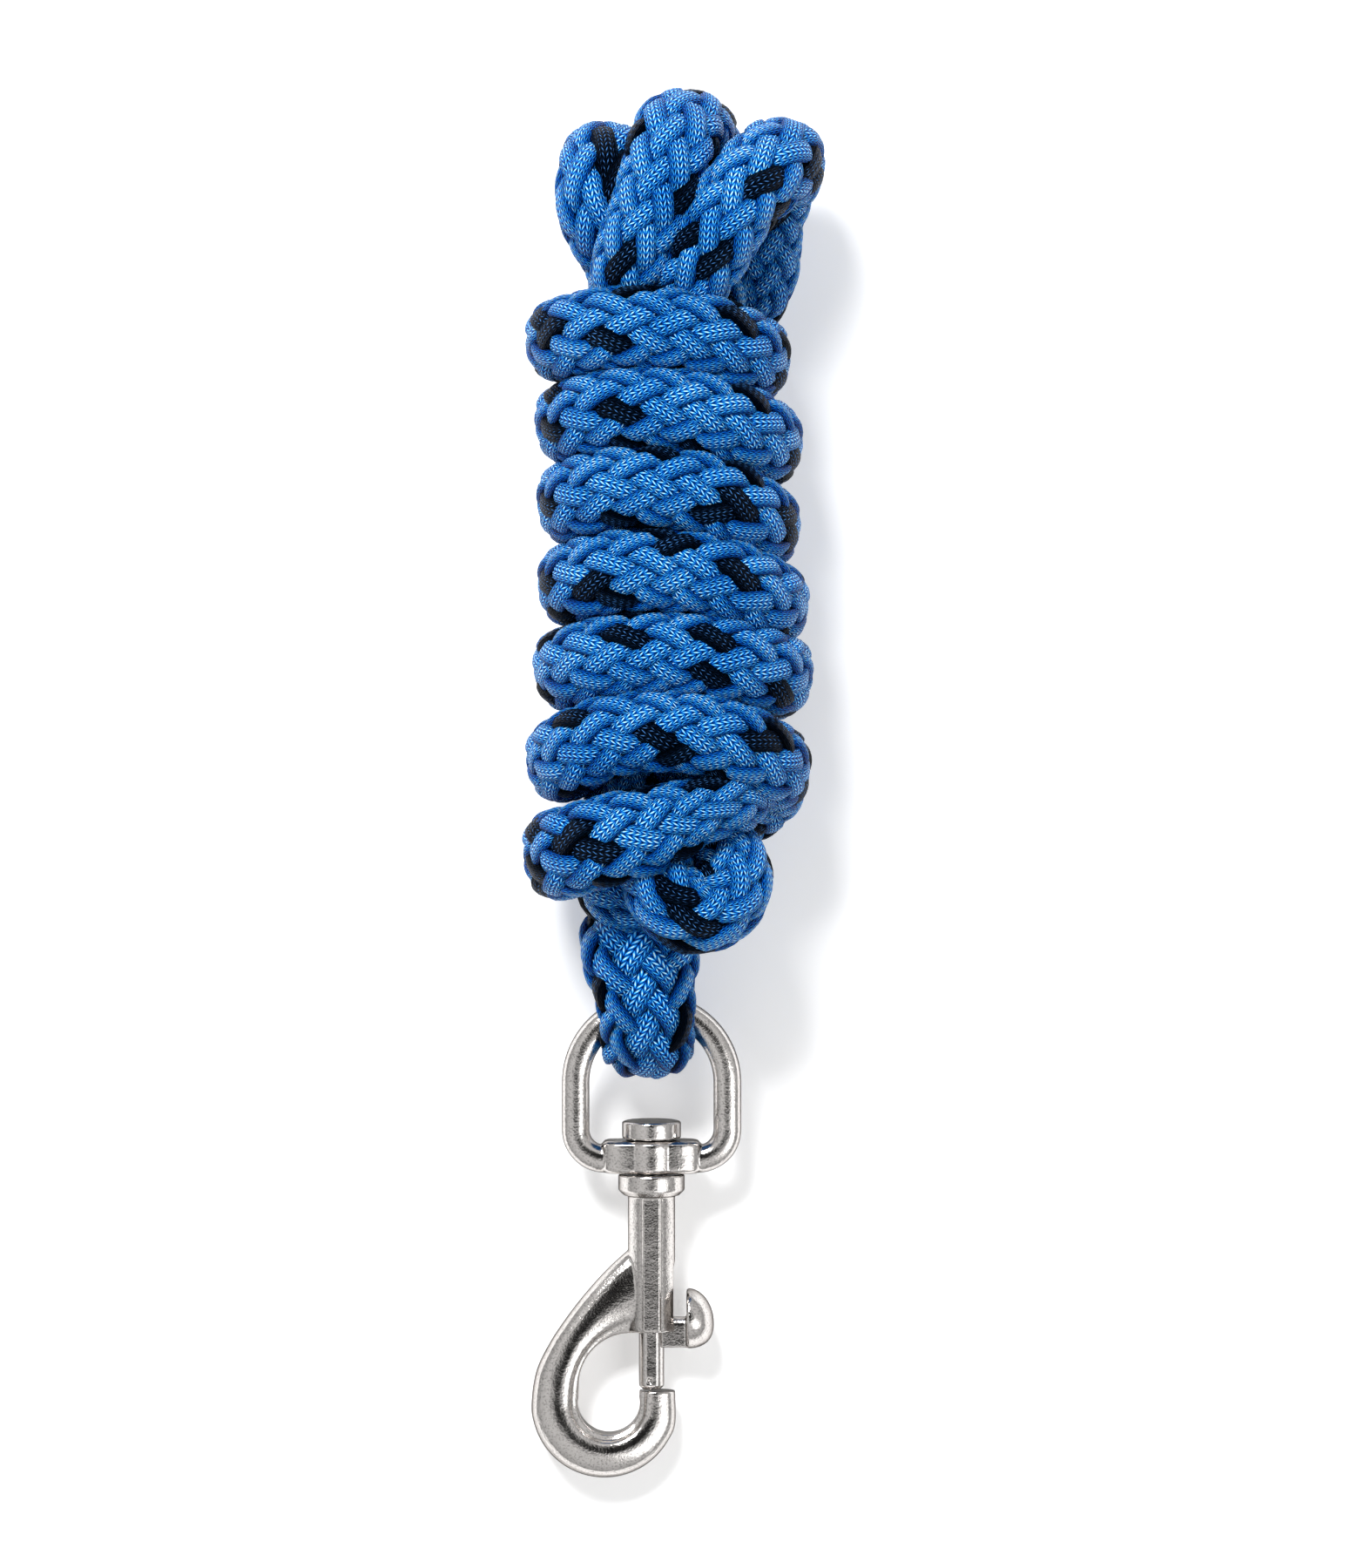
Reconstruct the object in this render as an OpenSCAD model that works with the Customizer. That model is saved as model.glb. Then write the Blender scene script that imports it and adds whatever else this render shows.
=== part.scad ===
// Lead rope with a swivel bolt snap, wrapped into a hank and laid on the plane z = 0.
// Millimetres, +Z up, the rope's length along Y. The origin is under the middle of the snap.

/* [Swivel eye] */
// Radius of the arch, to the middle of the bar
arch_r = 17.6; // [16.5:0.1:18]
// Width of the bar, across the ring
bar_w = 6.4; // [5.6:0.1:6.6]
// Depth of the bar, through the ring
bar_t = 6.8; // [6:0.1:7]
// Depth of the boss, front to back
boss_t = 13; // [12:0.5:14]

/* [Hook body] */
// Outer diameter of the barrel
barrel_d = 10.8; // [10.4:0.1:11.4]
// Diameter of the collar under the boss
collar_d = 15.4; // [14:0.2:16]
// Radius of the hook's seat
seat_r = 7.2; // [6.8:0.1:7.4]
// Greatest thickness of the hook
hook_t = 12.6; // [11:0.2:13]

/* [Bolt] */
// Diameter of the bolt
bolt_d = 5.84; // [5.5:0.02:5.96]
// Travel of the bolt
bolt_travel = 12.5; // [11:0.5:12.5]
// Diameter of the thumb knob
knob_d = 14; // [12:0.5:14]

/* [Rope] */
// Diameter of the rope where nothing presses on it
rope_d = 18; // [16:0.5:19]
// Width of the wrapped hank
hank_w = 65; // [62:1:66]
// Thickness of the wrapped hank
hank_t = 58; // [56:1:60]

/* [Hidden] */
$fn = 64;

// The snap leans on the tip of its hook, because the rope lifts its ring.
lean = 5.2;
ring_x = 3.6;
ring_y = 53.2;
lowest_y = -100;
ring_z = -lowest_y * sin(lean) + hook_t / 2 * cos(lean);

// Heights along the snap, measured from the middle of the ring's top bar.
rivet_top = -26.5;
rivet_under = -30.6;
boss_top = -31;
boss_foot = -38.6;
collar_top = -38.9;
collar_foot = -43.9;
shank_end = -50;
mouth = -75.5;
tip_top = -89.4;
bolt_top = -67;
neck_top = -72.2;
neck_foot = -79.3;
knob_y = -72.6;

shank_r = 3.5;
shank_gap = 0.07;
bore_r = 3;
boss_r = 11.3;
corner_r = 6.8;
knob_face = 8.1;
knob_depth = 6.4;
neck_t = 3.8;
slot_gap = 0.2;
peg_r = 1.6;
seat_c = [-9.9, -92.1];
outer_c = [-10.9, -92.7];
outer_r = 17;
throat_c = [-4.7, -88];
throat_r = 12.2;
lip = 1.2;

// A rounded section with n corners: a is its half width and b its half depth.
function rounded(a, b, n) = [
    for (i = [0 : n - 1])
        let (t = 360 * (i + 0.5) / n)
        [a * sign(cos(t)) * pow(abs(cos(t)), 0.75), b * sign(sin(t)) * pow(abs(sin(t)), 0.75)]
];

// The faces of a tube of rings, each of n points, with both ends closed.
function tube_faces(rings, n) = concat(
    [[for (j = [n - 1 : -1 : 0]) j]],
    [for (i = [0 : rings - 2], j = [0 : n - 1]) let (k = (j + 1) % n)
        [i * n + j, i * n + k, (i + 1) * n + k, (i + 1) * n + j]],
    [[for (j = [0 : n - 1]) (rings - 1) * n + j]]
);

module on_snap() {
    translate([ring_x, ring_y, ring_z]) rotate([lean, 0, 0]) children();
}

// A round bar along the snap from one height down to another.
module along(from, to, r1, r2) {
    translate([0, from, 0]) rotate([90, 0, 0]) cylinder(h = from - to, r1 = r1, r2 = r2);
}

module bar_section() {
    polygon(rounded(bar_w / 2, bar_t / 2, 16));
}

module ring_corner(side) {
    corner_y = boss_foot + bar_w / 2 + corner_r;
    start = side > 0 ? -90 : 180;
    translate([side * (arch_r - corner_r), corner_y, 0])
        rotate([0, 0, start])
            rotate_extrude(angle = 90)
                translate([corner_r, 0]) bar_section();
}

module ring_side(side) {
    corner_y = boss_foot + bar_w / 2 + corner_r;
    translate([side * arch_r, -arch_r, 0])
        rotate([90, 0, 0])
            linear_extrude(-arch_r - corner_y) bar_section();
}

module swivel_eye() {
    color("silver") on_snap() difference() {
        union() {
            translate([0, -arch_r, 0]) rotate_extrude(angle = 180)
                translate([arch_r, 0]) bar_section();
            for (side = [-1, 1]) {
                ring_side(side);
                ring_corner(side);
            }
            foot_x = arch_r - corner_r;
            translate([-foot_x, boss_foot + bar_w / 2, 0]) rotate([90, 0, 90])
                linear_extrude(2 * foot_x) bar_section();
            intersection() {
                along(boss_top, boss_foot, boss_r, boss_r);
                translate([-boss_r, boss_foot, -boss_t / 2])
                    cube([2 * boss_r, boss_top - boss_foot, boss_t]);
            }
        }
        along(boss_top + 1, boss_foot - 1, shank_r + shank_gap, shank_r + shank_gap);
    }
}

module swivel_rivet() {
    head_r = 6.85;
    edge = 0.7;
    color("silver") on_snap() {
        along(rivet_top, rivet_top - edge, head_r - edge, head_r);
        along(rivet_top - edge, rivet_under + edge / 2, head_r, head_r);
        along(rivet_under + edge / 2, rivet_under, head_r, head_r - edge / 2);
        along(rivet_under, shank_end, shank_r, shank_r);
    }
}

// Pairs of points across the hook, inner edge first, from its root in the barrel to its tip.
root_pairs = [
    [[-1, -75], [-1, -53]],
    [[-4, -75.2], [-5.2, -56.4]],
    [[-7.4, -76], [-9.8, -60.6]],
    [[-10.8, -77.5], [-14.6, -65.8]],
    [[-13.6, -79.8], [-19.2, -71.6]],
    [[-15.7, -83.1], [-23.6, -78.2]],
    [[-16.9, -87.4], [-26.8, -85]]
];
bend_pairs = [
    for (a = [180 : 15 : 345])
        [seat_c + seat_r * [cos(a), sin(a)], outer_c + outer_r * [cos(a), sin(a)]]
];
tip_pairs = [[[-2.5, tip_top], [5.5, tip_top]]];
hook_pairs = concat(root_pairs, bend_pairs, tip_pairs);
hook_count = len(hook_pairs);

// Half the hook's thickness: slim in the web, full in the bend, slim again at the tip.
function hook_half(i) =
    let (s = i / (hook_count - 1))
    (s < 0.55 ? 4 + (hook_t / 2 - 4) * (1 - cos(180 * s / 0.55)) / 2
              : 4.4 + (hook_t / 2 - 4.4) * (1 + cos(180 * (s - 0.55) / 0.45)) / 2);

module hook_arm() {
    sides = 24;
    points = [
        for (i = [0 : hook_count - 1])
            let (
                outer = hook_pairs[i][1],
                reach = hook_pairs[i][0] - outer,
                inner = outer + reach * (1 + lip / norm(reach)),
                middle = (inner + outer) / 2,
                half = (outer - inner) / 2
            )
            for (p = rounded(1, 1, sides))
                [middle.x + half.x * p.x, middle.y + half.y * p.x,
                    hook_half(i) * p.y * (1 - 0.2 * p.x)]
    ];
    polyhedron(points, tube_faces(hook_count, sides), convexity = 6);
}

// The space inside the hook, with an upright wall all round.
module hook_opening() {
    inset = 0.15;
    arch = [for (a = [90 : 7.5 : 172.5]) throat_c + throat_r * [cos(a), sin(a)]];
    left = seat_c + [inset - seat_r, 1];
    right = seat_c + [seat_r - inset, 1];
    translate([seat_c.x, seat_c.y, -10]) cylinder(h = 20, r = seat_r);
    translate([0, 0, -10]) linear_extrude(20)
        polygon(concat(arch, [left, right, [right.x, arch[0].y]]));
}

module barrel_strip(face) {
    strip_w = 3.9;
    strip_rise = 0.3;
    translate([-strip_w / 2, mouth, face > 0 ? 0 : -barrel_d / 2 - strip_rise])
        cube([strip_w, collar_foot - mouth + 0.5, barrel_d / 2 + strip_rise]);
}

module hook_body() {
    barrel_r = barrel_d / 2;
    collar_r = collar_d / 2;
    bevel = 1.6;
    slot_top = neck_top + bolt_travel + 2 * slot_gap;
    slot_half = neck_t / 2 + slot_gap;
    round_y = slot_top - slot_half;
    color("silver") on_snap() difference() {
        union() {
            along(collar_top, collar_top - 0.4, collar_r - 0.4, collar_r);
            along(collar_top - 0.4, collar_foot + bevel, collar_r, collar_r);
            along(collar_foot + bevel, collar_foot, collar_r, collar_r - bevel);
            along(collar_foot, mouth, barrel_r, barrel_r);
            barrel_strip(1);
            barrel_strip(-1);
            difference() {
                hook_arm();
                hook_opening();
            }
        }
        along(collar_top + 1, shank_end, shank_r, shank_r);
        along(shank_end + 1, mouth - 1, bore_r, bore_r);
        translate([0, mouth - 1, -slot_half])
            cube([barrel_d, round_y - mouth + 1, 2 * slot_half]);
        translate([0, round_y, 0]) rotate([0, 90, 0]) cylinder(h = barrel_d, r = slot_half);
    }
}

module bolt() {
    bevel = 0.9;
    bolt_r = bolt_d / 2;
    bolt_foot = tip_top + 0.3;
    neck_y = (neck_top + neck_foot) / 2;
    color("gainsboro") on_snap() difference() {
        union() {
            along(bolt_top, bolt_foot + bevel, bolt_r, bolt_r);
            along(bolt_foot + bevel, bolt_foot, bolt_r, bolt_r - bevel);
        }
        translate([-1.5, neck_y, 0]) rotate([0, 90, 0]) cylinder(h = bolt_d, r = peg_r);
    }
}

module thumb_knob() {
    neck_y = (neck_top + neck_foot) / 2;
    round_y = neck_top - neck_t / 2;
    knob_r = knob_d / 2;
    dome = [for (a = [0 : 10 : 90]) [knob_r * cos(a), 1 + (knob_depth - 1) * sin(a)]];
    color("silver") on_snap() {
        translate([knob_face, knob_y, 0]) rotate([0, 90, 0])
            rotate_extrude() polygon(concat([[0, 0], [knob_r - 0.5, 0], [knob_r, 0.5]], dome));
        difference() {
            union() {
                translate([1, neck_foot, -neck_t / 2])
                    cube([knob_face - 1, round_y - neck_foot, neck_t]);
                translate([1, round_y, 0]) rotate([0, 90, 0])
                    cylinder(h = knob_face - 1, r = neck_t / 2);
            }
            along(neck_top + 1, neck_foot - 1, bolt_d / 2, bolt_d / 2);
        }
        translate([-1.5, neck_y, 0]) rotate([0, 90, 0]) cylinder(h = 5.5, r = peg_r);
    }
}

module bolt_spring() {
    turns = 9;
    wire_r = 0.35;
    coil_r = 2.45;
    steps = 14;
    sides = 6;
    rings = turns * steps + 1;
    free_top = shank_end - 0.05 - wire_r;
    free_foot = bolt_top + 0.05 + wire_r;
    points = [
        for (i = [0 : rings - 1], j = [0 : sides - 1])
            let (turn = 360 * i / steps, t = 360 * j / sides, r = coil_r + wire_r * cos(t))
            [r * cos(turn), free_top + (free_foot - free_top) * i / (rings - 1) + wire_r * sin(t),
                -r * sin(turn)]
    ];
    color("dimgray") on_snap() polyhedron(points, tube_faces(rings, sides), convexity = 20);
}

// The spliced eye's route: from the throat of the splice, down over the ring's bar, round
// under it and back up behind the hank.
eye_route = [
    [2, 76.4, 24.5], [1.3, 73.5, 25.3], [0.9, 68, 26.3], [1.3, 62.5, 26.6], [2, 57, 26.2],
    [2.6, 51.5, 25.2], [2.6, 46.6, 22.2], [2.6, 43.6, 17.8], [2.8, 43.6, 12.4],
    [3, 46.4, 8.2], [3.1, 51, 6.2], [3, 57, 6.3], [2.8, 63, 7.6], [2.8, 69, 9.6], [3.2, 75, 12.8]
];
eye_half_w = 6.5;
eye_half_t = 4;

module rope_eye() {
    sides = 12;
    count = len(eye_route);
    points = [
        for (i = [0 : count - 1])
            let (
                here = eye_route[i],
                step = eye_route[min(i + 1, count - 1)] - eye_route[max(i - 1, 0)],
                up = [0, -step.z, step.y] / norm([0, step.z, step.y])
            )
            for (p = rounded(eye_half_w, eye_half_t, sides)) here + [p.x, 0, 0] + up * p.y
    ];
    color("royalblue") polyhedron(points, tube_faces(count, sides), convexity = 6);
}

hank_x = 7.5;
hank_low = 77.5;
hank_high = 218;
hank_corner = 24;

// The section of the hank across Y, rounded where the wraps turn.
module hank_section(w, t) {
    for (x = [-1, 1], z = [-1, 1])
        translate([x * (w / 2 - hank_corner), z * (t / 2 - hank_corner)]) circle(hank_corner);
    square([w, t - 2 * hank_corner], center = true);
    square([w - 2 * hank_corner, t], center = true);
}

module rope_hank() {
    color("royalblue") translate([hank_x, hank_high, hank_t / 2]) rotate([90, 0, 0])
        linear_extrude(hank_high - hank_low) hank_section(hank_w, hank_t);
}

// One bight of rope: a fat bar with round ends, from one point to another.
module bight(from, to, fat) {
    r = fat * rope_d / 2;
    hull() {
        translate(from) sphere(r, $fn = 24);
        translate(to) sphere(r, $fn = 24);
    }
}

module rope_top_bights() {
    color("royalblue") intersection() {
        union() {
            bight([-6, 245, 30], [6, 216, 30], 1.18);
            bight([9, 252, 34], [6, 214, 26], 1.44);
            bight([33, 246, 30], [18, 212, 28], 1.5);
            bight([8, 222, 29], [22, 214, 29], 1.55);
        }
        translate([-60, hank_high, 0]) cube([130, 60, 60]);
    }
}

module rope_bottom_bights() {
    color("royalblue") intersection() {
        union() {
            bight([21, 82, 42], [16, 76.5, 42], 1.28);
            bight([8, 80, 41], [14, 76.5, 42], 1.28);
        }
        translate([-60, 40, 0]) cube([130, hank_low - 40, 60]);
    }
}

swivel_eye();
swivel_rivet();
hook_body();
bolt();
thumb_knob();
bolt_spring();
rope_eye();
rope_bottom_bights();
rope_hank();
rope_top_bights();
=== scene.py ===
"""The looks of a braided lead rope, wrapped into a hank, with a swivel bolt snap on its end.

The rope is one cord: a core tube and the 24 knitted strands that are braided over it. The snap's castings
are smooth meshes in the places of their CAD solids. The builders work in millimetres, and Blender in metres.
"""

import math

import bmesh
import bpy
import numpy as np
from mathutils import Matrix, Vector


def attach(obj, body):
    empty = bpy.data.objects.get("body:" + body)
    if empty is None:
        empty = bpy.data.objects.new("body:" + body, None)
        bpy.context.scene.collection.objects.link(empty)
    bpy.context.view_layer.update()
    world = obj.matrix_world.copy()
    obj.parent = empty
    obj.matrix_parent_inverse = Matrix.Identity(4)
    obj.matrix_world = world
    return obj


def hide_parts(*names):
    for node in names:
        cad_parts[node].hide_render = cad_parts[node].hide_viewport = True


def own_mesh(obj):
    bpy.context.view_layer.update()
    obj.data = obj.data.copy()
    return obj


MM = 0.001
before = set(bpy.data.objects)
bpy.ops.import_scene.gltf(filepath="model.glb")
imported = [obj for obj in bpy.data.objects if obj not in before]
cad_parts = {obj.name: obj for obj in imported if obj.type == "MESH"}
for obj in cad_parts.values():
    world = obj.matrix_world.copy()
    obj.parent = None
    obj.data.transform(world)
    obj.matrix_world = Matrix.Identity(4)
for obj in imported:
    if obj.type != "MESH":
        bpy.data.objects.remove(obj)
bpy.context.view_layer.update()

# ---------------------------------------------------------------- meshes


def tube_object(name, rings, around, along, material):
    """A closed tube through rings of points, in millimetres.

    Its UVs count stitches: around is the number of them round the tube, and along has each ring's place.
    """
    count, sides = rings.shape[:2]
    verts = np.concatenate([rings.reshape(-1, 3), rings[0].mean(0)[None], rings[-1].mean(0)[None]]) * MM
    i = np.arange(count - 1)[:, None] * sides
    j = np.arange(sides)[None, :]
    k = (j + 1) % sides
    quads = np.stack([i + j, i + k, i + sides + k, i + sides + j], -1).reshape(-1, 4)
    j, k = j[0], k[0]
    first, last = count * sides, (count - 1) * sides
    start = np.stack([np.full(sides, first), k, j], -1)
    end = np.stack([np.full(sides, first + 1), last + j, last + k], -1)
    loops = np.concatenate([quads.ravel(), start.ravel(), end.ravel()])
    totals = np.concatenate([np.full(len(quads), 4), np.full(2 * sides, 3)])
    mesh = bpy.data.meshes.new(name)
    mesh.vertices.add(len(verts))
    mesh.vertices.foreach_set("co", verts.astype(np.float32).ravel())
    mesh.loops.add(len(loops))
    mesh.loops.foreach_set("vertex_index", loops.astype(np.int32))
    mesh.polygons.add(len(totals))
    mesh.polygons.foreach_set("loop_start", np.concatenate([[0], np.cumsum(totals)[:-1]]).astype(np.int32))
    mesh.update(calc_edges=True)
    mesh.polygons.foreach_set("use_smooth", np.ones(len(totals), bool))
    u_start = np.broadcast_to(j / sides, (count - 1, sides))
    u_end = u_start + 1 / sides
    v_start = np.broadcast_to(along[:-1, None], (count - 1, sides))
    v_end = np.broadcast_to(along[1:, None], (count - 1, sides))
    uv = np.stack([np.stack([u_start, v_start], -1), np.stack([u_end, v_start], -1),
                   np.stack([u_end, v_end], -1), np.stack([u_start, v_end], -1)], 2).reshape(-1, 2)
    uv[:, 0] *= around
    uv = np.concatenate([uv, np.zeros((6 * sides, 2))])
    layer = mesh.uv_layers.new(name="knit")
    layer.data.foreach_set("uv", uv.astype(np.float32).ravel())
    mesh.validate()
    obj = bpy.data.objects.new(name, mesh)
    bpy.context.scene.collection.objects.link(obj)
    mesh.materials.append(material)
    return obj


# ---------------------------------------------------------------- node helpers


def new_material(name):
    """A material with an empty Principled shader: (material, nodes, links, shader)."""
    material = bpy.data.materials.new(name)
    material.use_nodes = True
    nodes, links = material.node_tree.nodes, material.node_tree.links
    return material, nodes, links, nodes["Principled BSDF"]


def calc(nodes, links, operation, a, b=0.0, c=0.0):
    """A Math node: a, b and c are numbers or sockets."""
    node = nodes.new("ShaderNodeMath")
    node.operation = operation
    for socket, value in zip(node.inputs, (a, b, c)):
        if isinstance(value, (int, float)):
            socket.default_value = value
        else:
            links.new(value, socket)
    return node.outputs[0]


def ramp(nodes, links, value, *stops):
    """A colour ramp: each stop is (place, colour)."""
    node = nodes.new("ShaderNodeValToRGB")
    links.new(value, node.inputs[0])
    elements = node.color_ramp.elements
    while len(elements) < len(stops):
        elements.new(0.5)
    for element, (place, colour) in zip(elements, stops):
        element.position = place
        element.color = (*colour, 1)
    return node.outputs[0]


def noise(nodes, links, coordinates, scale, detail=3.0, roughness=0.5):
    node = nodes.new("ShaderNodeTexNoise")
    links.new(coordinates, node.inputs["Vector"])
    node.inputs["Scale"].default_value = scale
    node.inputs["Detail"].default_value = detail
    node.inputs["Roughness"].default_value = roughness
    return node.outputs["Fac"]


def bump(nodes, links, height, distance, strength=1.0, normal=None):
    node = nodes.new("ShaderNodeBump")
    node.inputs["Distance"].default_value = distance
    node.inputs["Strength"].default_value = strength
    links.new(height, node.inputs["Height"])
    if normal is not None:
        links.new(normal, node.inputs["Normal"])
    return node.outputs[0]


# ---------------------------------------------------------------- yarn

# Columns of stitches round a strand, the length of a stitch in millimetres, and the slope of its two legs.
STITCH_COLUMNS = 11
STITCH_PITCH = 1.35
STITCH_SLANT = 2.4


def yarn_material(name, shine, painted_hole_shade, middle, light, painted_crest_highlight):
    """Knitted yarn: columns of V stitches that run along the strand, from UVs in stitches."""
    material, nodes, links, shader = new_material(name)
    place = nodes.new("ShaderNodeUVMap")
    place.uv_map = "knit"
    split = nodes.new("ShaderNodeSeparateXYZ")
    links.new(place.outputs[0], split.inputs[0])
    across = calc(nodes, links, "FRACT", split.outputs["X"])
    offset = calc(nodes, links, "ABSOLUTE", calc(nodes, links, "SUBTRACT", across, 0.5))
    slanted = calc(nodes, links, "MULTIPLY_ADD", offset, STITCH_SLANT, split.outputs["Y"])
    wave = calc(nodes, links, "MULTIPLY", calc(nodes, links, "PINGPONG", slanted, 0.5), 2.0)
    loop = calc(nodes, links, "POWER", wave, 0.55)
    leg = calc(nodes, links, "SINE", calc(nodes, links, "MULTIPLY", offset, 2 * math.pi))
    leg = calc(nodes, links, "POWER", calc(nodes, links, "MAXIMUM", leg, 0.001), 0.55)
    height = calc(nodes, links, "MULTIPLY", loop, leg)
    geometry = nodes.new("ShaderNodeNewGeometry")
    fine = noise(nodes, links, geometry.outputs["Position"], 2600, 2.0)
    broad = noise(nodes, links, geometry.outputs["Position"], 70, 2.0)
    # Painted shade: the colour stays full on the strand's outer face and is darkened towards its sides, where
    # they are pressed against the next strands.
    from_crown = calc(nodes, links, "SUBTRACT", split.outputs["X"], STITCH_COLUMNS / 4)
    angle = calc(nodes, links, "MULTIPLY", from_crown, 2 * math.pi / STITCH_COLUMNS)
    facing = calc(nodes, links, "COSINE", angle)
    painted_side_shade = calc(nodes, links, "MULTIPLY_ADD", facing, 0.48, 0.56)
    tone = calc(nodes, links, "MULTIPLY_ADD", fine, 0.30, height)
    tone = calc(nodes, links, "MULTIPLY_ADD", broad, 0.30, tone)
    # The painted side shade scales the stitch tone down at the strand's sides.
    tone = calc(nodes, links, "MULTIPLY", calc(nodes, links, "SUBTRACT", tone, 0.27), painted_side_shade)
    # Painted shade in the holes between stitches, the yarn's own colour, then painted highlights on the
    # stitch tops and brighter painted highlights on their crests.
    colour = ramp(nodes, links, tone, (0.2, painted_hole_shade), (0.53, middle), (0.88, light), (1.12, painted_crest_highlight))
    links.new(colour, shader.inputs["Base Color"])
    shader.inputs["Roughness"].default_value = 0.42
    shader.inputs["Specular IOR Level"].default_value = shine
    shader.inputs["Specular Tint"].default_value = (0.1, 0.5, 1.0, 1)
    rough = calc(nodes, links, "MULTIPLY_ADD", fine, 0.1, height)
    links.new(bump(nodes, links, rough, 0.48 * MM, 1.0), shader.inputs["Normal"])
    return material


# Each yarn: specular level, painted shade for the stitch holes, its own colour, and two painted highlight
# colours for the stitch tops and crests.
blue_yarn = yarn_material(
    "blue_yarn", 0.16, (0.0, 0.002, 0.03), (0.0, 0.106, 0.62), (0.06, 0.53, 1.0), (0.75, 0.97, 1.0))
black_yarn = yarn_material(
    "black_yarn", 0.06, (0.0, 0.0, 0.001), (0.0, 0.0005, 0.002), (0.004, 0.012, 0.04), (0.06, 0.2, 0.5))


def core_material():
    """The dark inside of the braid, seen only through the gaps between strands."""
    material, nodes, links, shader = new_material("braid_core")
    geometry = nodes.new("ShaderNodeNewGeometry")
    grain = noise(nodes, links, geometry.outputs["Position"], 1400)
    colour = ramp(nodes, links, grain, (0.3, (0.002, 0.012, 0.05)), (0.8, (0.006, 0.04, 0.14)))
    links.new(colour, shader.inputs["Base Color"])
    shader.inputs["Roughness"].default_value = 0.9
    links.new(bump(nodes, links, grain, 0.3 * MM), shader.inputs["Normal"])
    return material


# ---------------------------------------------------------------- the rope's route, in millimetres

ROPE_D = 18.0
# The height of the hank's middle, and how far the hidden runs are pressed in, against a round rope.
HANK_Z = 29.0
RUN_GIRTH = 0.78
ACROSS = (1, 0, 0)


def stretch(points, girth=None, hold=0.25):
    """Route rows: place, thickness, width, the way that the width lies, and how firmly the place is held."""
    points = np.array(points, float)
    if girth is not None:
        points = np.hstack([points, np.full((len(points), 1), girth)])
    rest = np.tile([*ACROSS, hold], (len(points), 1))
    return np.hstack([points[:, :4], points[:, 3:4], rest])


# The splice and the eye: over the ring's bar, round it and back under, then up into the hank. The places of
# all but the last point are the eye's route in part.scad.
EYE = np.array([
    # x, y, z, thickness and width against a round rope
    [2.0, 76.4, 24.5, 0.80, 1.40], [1.3, 73.5, 25.3, 0.98, 1.62], [0.9, 68, 26.3, 1.02, 1.70],
    [1.3, 62.5, 26.6, 0.95, 1.62], [2.0, 57, 26.2, 0.80, 1.40], [2.6, 51.5, 25.2, 0.72, 1.34],
    [2.6, 46.6, 22.2, 0.72, 1.30], [2.6, 43.6, 17.8, 0.73, 1.26], [2.8, 43.6, 12.4, 0.72, 1.24],
    [3.0, 46.4, 8.2, 0.69, 1.20], [3.1, 51, 6.2, 0.66, 1.16], [3.0, 57, 6.3, 0.68, 1.22],
    [2.8, 63, 7.6, 0.80, 1.26], [2.8, 69, 9.6, 0.90, 1.16], [3.2, 75, 12.8, 0.90, 1.02],
    [4.0, 81, 17.0, 0.84, 0.9],
])
# The free stretches: x, y, z and girth against the round rope, tight at the neck and full in the bights.
LEFT_LOBE = [
    [7, 206, 20.5, 0.78], [5.6, 215, 18, 0.84], [2, 223, 15, 0.92], [-3, 231.4, 13.6, 1.02],
    [-6.2, 240, 14.4, 1.12], [-7.2, 247.4, 19.5, 1.16], [-7.2, 248.6, 27.5, 1.16], [-7.2, 244, 34.2, 1.16],
    [-7, 236, 36, 1.1], [-4.6, 228.6, 32.6, 0.96], [-2, 219, 28.6, 0.84], [-1.8, 209, 26, 0.78]]
BOTTOM_LEFT = [
    [-4.6, 94, 26, 0.85], [-6.2, 87, 27.6, 0.95], [-5.6, 80.6, 29.2, 1.0], [-1.6, 76.2, 30.2, 1.0],
    [4.4, 75.2, 30.2, 1.0], [10.4, 77.6, 29, 0.98], [14.6, 83, 27, 0.92], [16.4, 91, 25, 0.84]]
MIDDLE_LOBE = [
    [16.6, 206, 23.5, 0.78], [18, 215, 20, 0.84], [19, 225, 16.6, 0.92], [18.4, 237, 14.8, 1.02],
    [16.6, 247, 17, 1.12], [13.6, 254.2, 23.6, 1.16], [10.8, 255.8, 32, 1.18], [8, 252, 40, 1.18],
    [5.6, 244, 44, 1.12], [3.2, 234.4, 44.6, 1.05], [-0.2, 226, 43.4, 1.0], [-2.2, 218, 40.4, 0.92],
    [-2, 209, 37.5, 0.82]]
BOTTOM_FRONT = [
    [-0.6, 98, 36.2, 0.8], [0.6, 91, 36.6, 0.86], [3.2, 84, 39, 0.98], [7, 77.4, 42, 1.04],
    [13.8, 74.2, 43.4, 1.06], [20.6, 77.4, 42.6, 1.06], [23, 84.4, 40.4, 1.04], [20.6, 91.6, 37.4, 0.9],
    [15.4, 98.4, 36.2, 0.8]]
RIGHT_LOBE = [
    [10.6, 205, 37, 0.8], [8.6, 213, 40, 0.92], [10.8, 221.6, 44.4, 1.0], [15.8, 230.6, 47, 1.06],
    [21.8, 238.4, 47.2, 1.1], [28.6, 245.4, 44, 1.14], [33, 249, 37.4, 1.14], [34.2, 249, 29.6, 1.12],
    [32, 244.6, 22, 1.08], [26.4, 236, 17.4, 1.0], [25.2, 226, 15, 0.98], [24.4, 217, 11.6, 0.96],
    [19.5, 212.6, 8.8, 0.92], [8, 210, 8.2, 0.9], [-7, 208.4, 9.4, 0.9], [-14.6, 207.6, 16, 0.95]]
FREE_END = [[17.6, 99.6, 46], [23, 101.4, 40.6], [24.6, 103, 33.5]]

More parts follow.
